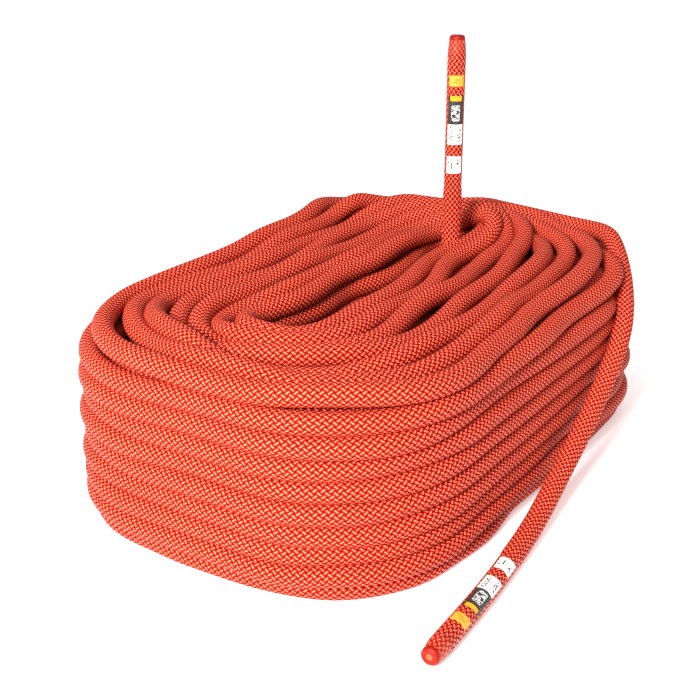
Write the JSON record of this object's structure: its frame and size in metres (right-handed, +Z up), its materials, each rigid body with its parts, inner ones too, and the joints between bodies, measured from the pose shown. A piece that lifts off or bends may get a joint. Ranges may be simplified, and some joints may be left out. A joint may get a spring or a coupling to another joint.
{
  "type": "coiled climbing rope",
  "caption": "Low-stretch kernmantle rope laid in a tall oval coil, one end standing up from the middle, the other lying beside it; braided sheath, labelled ends under clear sleeves.",
  "frame": {"origin": "middle of the coil's underside, on the plane that the coil and the trailing end lie on", "axes": "+X along the coil's long axis, towards the end where the trailing end leaves the top turn; +Z up; the trailing end lies on the -Y side"},
  "size_m": [0.3411, 0.2396, 0.2205],
  "materials": {
    "braided_sheath": "braided polyamide, red-orange, with pale light on the yarns",
    "core_yarn": "twisted off-white polyamide yarn",
    "marker_tape": "thin printed tape, left plain",
    "fused_nylon": "melted and set, dark rim and tan middle",
    "clear_sleeve": "clear shrink film",
    "yellow_label": "satin film",
    "black_label": "satin film",
    "white_label": "satin film"
  },
  "bodies": {
    "root": {"rope_coil": "braided_sheath", "standing_sheath": "braided_sheath", "standing_core_s_strands": "core_yarn", "standing_core_z_strands": "core_yarn", "standing_marker_tape": "marker_tape", "standing_fused_tip": "fused_nylon", "standing_shrink_sleeve": "clear_sleeve", "standing_yellow_label": "yellow_label", "standing_black_label": "black_label", "standing_norm_label": "white_label", "standing_length_label": "white_label", "trailing_sheath": "braided_sheath", "trailing_core_s_strands": "core_yarn", "trailing_core_z_strands": "core_yarn", "trailing_marker_tape": "marker_tape", "trailing_fused_tip": "fused_nylon", "trailing_shrink_sleeve": "clear_sleeve", "trailing_yellow_label": "yellow_label", "trailing_black_label": "black_label", "trailing_norm_label": "white_label", "trailing_length_label": "white_label"}
  },
  "joints": []
}
